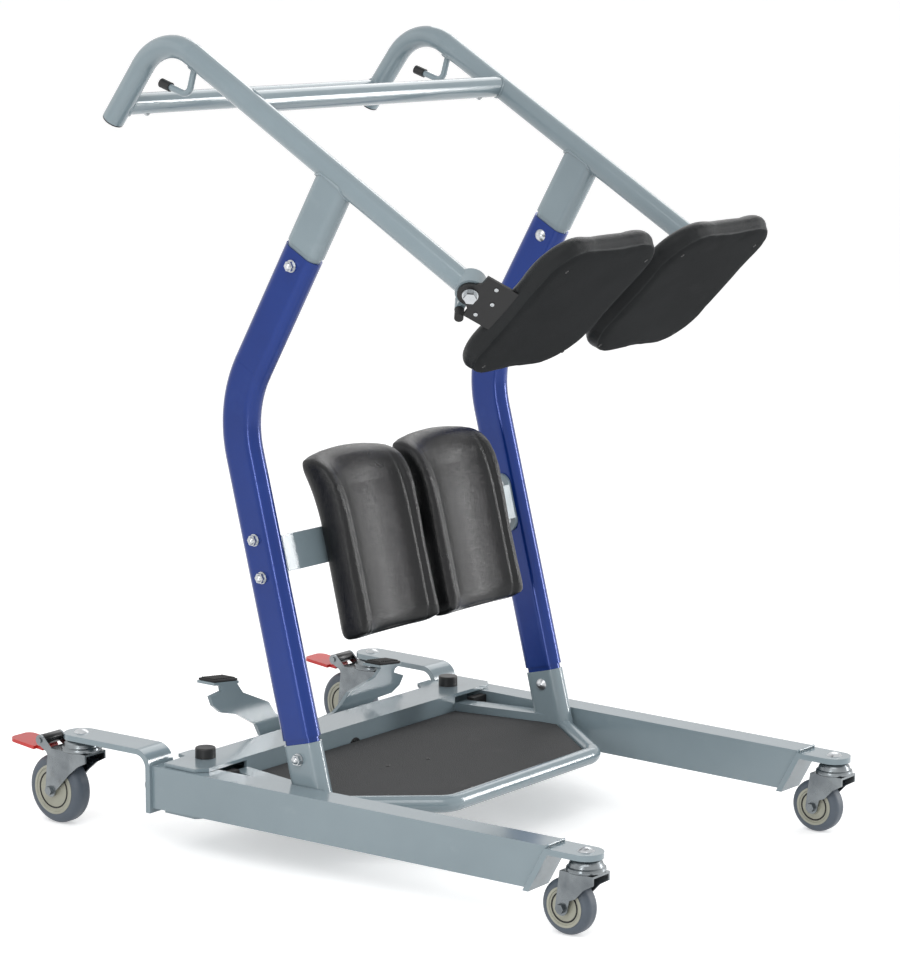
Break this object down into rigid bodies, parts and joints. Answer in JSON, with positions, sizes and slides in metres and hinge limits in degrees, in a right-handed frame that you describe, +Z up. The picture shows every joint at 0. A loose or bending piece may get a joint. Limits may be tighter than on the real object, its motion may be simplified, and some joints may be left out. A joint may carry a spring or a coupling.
{
  "type": "standing transfer aid",
  "caption": "Standing transfer aid on casters: bent posts carry handles, a padded shin rest and swing-aside seat pads over a footplate between legs that a pedal spreads.",
  "frame": {"origin": "on the floor under the middle of the bounding box", "axes": "+X towards the open end where the person steps in, +Y to the left, +Z up"},
  "size_m": [1.0126, 0.709, 1.1194],
  "materials": {
    "frame_paint": "smooth grey-blue powder coat",
    "post_paint": "metallic blue enamel",
    "pad_skin": "grained black padded skin",
    "seat_base": "dull black board",
    "foot_rubber": "dark grey non-slip mat",
    "black_rubber": "black rubber",
    "black_plastic": "black plastic",
    "hinge_black": "satin black coat",
    "zinc": "bright zinc plate",
    "caster_steel": "zinc plated pressed steel",
    "tyre_grey": "grey non-marking tyre",
    "hub_beige": "beige moulded hub",
    "brake_red": "red moulded pedal"
  },
  "bodies": {
    "frame": {"rear_crossbeam": "frame_paint", "side_frame_right": "frame_paint", "side_frame_left": "frame_paint", "footplate_tube": "frame_paint", "footplate_panel": "frame_paint", "foot_mat": "foot_rubber", "leg_stops": "black_rubber", "pivot_bolts": "zinc", "pivot_caps": "black_plastic", "post_right": "post_paint", "post_left": "post_paint", "handle_right": "frame_paint", "handle_left": "frame_paint", "bag_hooks": "frame_paint", "end_caps": "black_plastic", "front_crossbar": "frame_paint", "rear_crossbar": "frame_paint", "crossbar_screws": "zinc", "post_bolts": "zinc", "shin_bar": "frame_paint", "shin_bolts": "zinc", "shin_pad_right": "pad_skin", "shin_pad_left": "pad_skin", "hinge_bolts": "zinc", "stop_sleeves": "black_rubber", "rocker_bushes": "black_plastic"},
    "pedal_rocker": {"rocker_shaft": "zinc", "pedal_arm_right": "frame_paint", "pedal_arm_left": "frame_paint", "pedal_pads": "black_rubber"},
    "tie_rod_right": {"tie_rod_right": "frame_paint"},
    "leg_right": {"leg_right": "frame_paint", "rear_strap_right": "frame_paint", "strap_bolt_right": "zinc", "caster_stems_right": "zinc"},
    "front_caster_right": {"front_fork_right": "caster_steel"},
    "front_wheel_right": {"front_tyre_right": "tyre_grey", "front_hub_right": "hub_beige"},
    "rear_caster_right": {"rear_fork_right": "caster_steel"},
    "rear_wheel_right": {"rear_tyre_right": "tyre_grey", "rear_hub_right": "hub_beige"},
    "brake_right": {"brake_pedal_right": "brake_red"},
    "seat_right": {"hinge_plate_right": "hinge_black", "seat_board_right": "seat_base", "seat_pad_right": "pad_skin"},
    "tie_rod_left": {"tie_rod_left": "frame_paint"},
    "leg_left": {"leg_left": "frame_paint", "rear_strap_left": "frame_paint", "strap_bolt_left": "zinc", "caster_stems_left": "zinc"},
    "front_caster_left": {"front_fork_left": "caster_steel"},
    "front_wheel_left": {"front_tyre_left": "tyre_grey", "front_hub_left": "hub_beige"},
    "rear_caster_left": {"rear_fork_left": "caster_steel"},
    "rear_wheel_left": {"rear_tyre_left": "tyre_grey", "rear_hub_left": "hub_beige"},
    "brake_left": {"brake_pedal_left": "brake_red"},
    "seat_left": {"hinge_plate_left": "hinge_black", "seat_board_left": "seat_base", "seat_pad_left": "pad_skin"}
  },
  "joints": [
    {"name": "pedal_rock", "type": "hinge", "parent": "frame", "child": "pedal_rocker", "pos_m": [-0.22361, 0, 0.088], "axis": [1, 0, 0], "range_deg": [0, 13]},
    {"name": "rod_pin_right", "type": "hinge", "parent": "pedal_rocker", "child": "tie_rod_right", "pos_m": [-0.22361, -0.00249, 0.06614], "axis": [1, 0, 0], "range_deg": [-13, 0]},
    {"name": "leg_spread_right", "type": "hinge", "parent": "frame", "child": "leg_right", "pos_m": [-0.19, -0.275, 0.086], "axis": [0, 0, 1], "range_deg": [-8.5, 0]},
    {"name": "front_swivel_right", "type": "hinge", "parent": "leg_right", "child": "front_caster_right", "pos_m": [0.48032, -0.30071, 0.087], "axis": [0, 0, 1], "continuous": true},
    {"name": "front_roll_right", "type": "hinge", "parent": "front_caster_right", "child": "front_wheel_right", "pos_m": [0.45532, -0.30071, 0.0375], "axis": [0, 1, 0], "continuous": true},
    {"name": "rear_swivel_right", "type": "hinge", "parent": "leg_right", "child": "rear_caster_right", "pos_m": [-0.38062, -0.32551, 0.112], "axis": [0, 0, 1], "continuous": true},
    {"name": "rear_roll_right", "type": "hinge", "parent": "rear_caster_right", "child": "rear_wheel_right", "pos_m": [-0.42462, -0.32551, 0.05], "axis": [0, 1, 0], "continuous": true},
    {"name": "brake_press_right", "type": "hinge", "parent": "rear_caster_right", "child": "brake_right", "pos_m": [-0.44362, -0.32551, 0.12], "axis": [0, 1, 0], "range_deg": [-12, 0]},
    {"name": "seat_swing_right", "type": "hinge", "parent": "frame", "child": "seat_right", "pos_m": [0.277, -0.277, 0.81], "axis": [0.5, -0.7071, -0.5], "range_deg": [0, 180]},
    {"name": "rod_pin_left", "type": "hinge", "parent": "pedal_rocker", "child": "tie_rod_left", "pos_m": [-0.22361, 0.00249, 0.10986], "axis": [1, 0, 0], "range_deg": [-13, 0]},
    {"name": "leg_spread_left", "type": "hinge", "parent": "frame", "child": "leg_left", "pos_m": [-0.19, 0.275, 0.086], "axis": [0, 0, 1], "range_deg": [0, 8.5]},
    {"name": "front_swivel_left", "type": "hinge", "parent": "leg_left", "child": "front_caster_left", "pos_m": [0.48032, 0.30071, 0.087], "axis": [0, 0, 1], "continuous": true},
    {"name": "front_roll_left", "type": "hinge", "parent": "front_caster_left", "child": "front_wheel_left", "pos_m": [0.45532, 0.30071, 0.0375], "axis": [0, 1, 0], "continuous": true},
    {"name": "rear_swivel_left", "type": "hinge", "parent": "leg_left", "child": "rear_caster_left", "pos_m": [-0.38062, 0.32551, 0.112], "axis": [0, 0, 1], "continuous": true},
    {"name": "rear_roll_left", "type": "hinge", "parent": "rear_caster_left", "child": "rear_wheel_left", "pos_m": [-0.42462, 0.32551, 0.05], "axis": [0, 1, 0], "continuous": true},
    {"name": "brake_press_left", "type": "hinge", "parent": "rear_caster_left", "child": "brake_left", "pos_m": [-0.44362, 0.32551, 0.12], "axis": [0, 1, 0], "range_deg": [-12, 0]},
    {"name": "seat_swing_left", "type": "hinge", "parent": "frame", "child": "seat_left", "pos_m": [0.277, 0.277, 0.81], "axis": [-0.5, -0.7071, 0.5], "range_deg": [0, 180]}
  ],
  "couplings": [
    {"joint": "rod_pin_right", "follows": "pedal_rock", "ratio": -1},
    {"joint": "leg_spread_right", "follows": "pedal_rock", "ratio": -0.6538},
    {"joint": "rod_pin_left", "follows": "pedal_rock", "ratio": -1},
    {"joint": "leg_spread_left", "follows": "pedal_rock", "ratio": 0.6538}
  ]
}
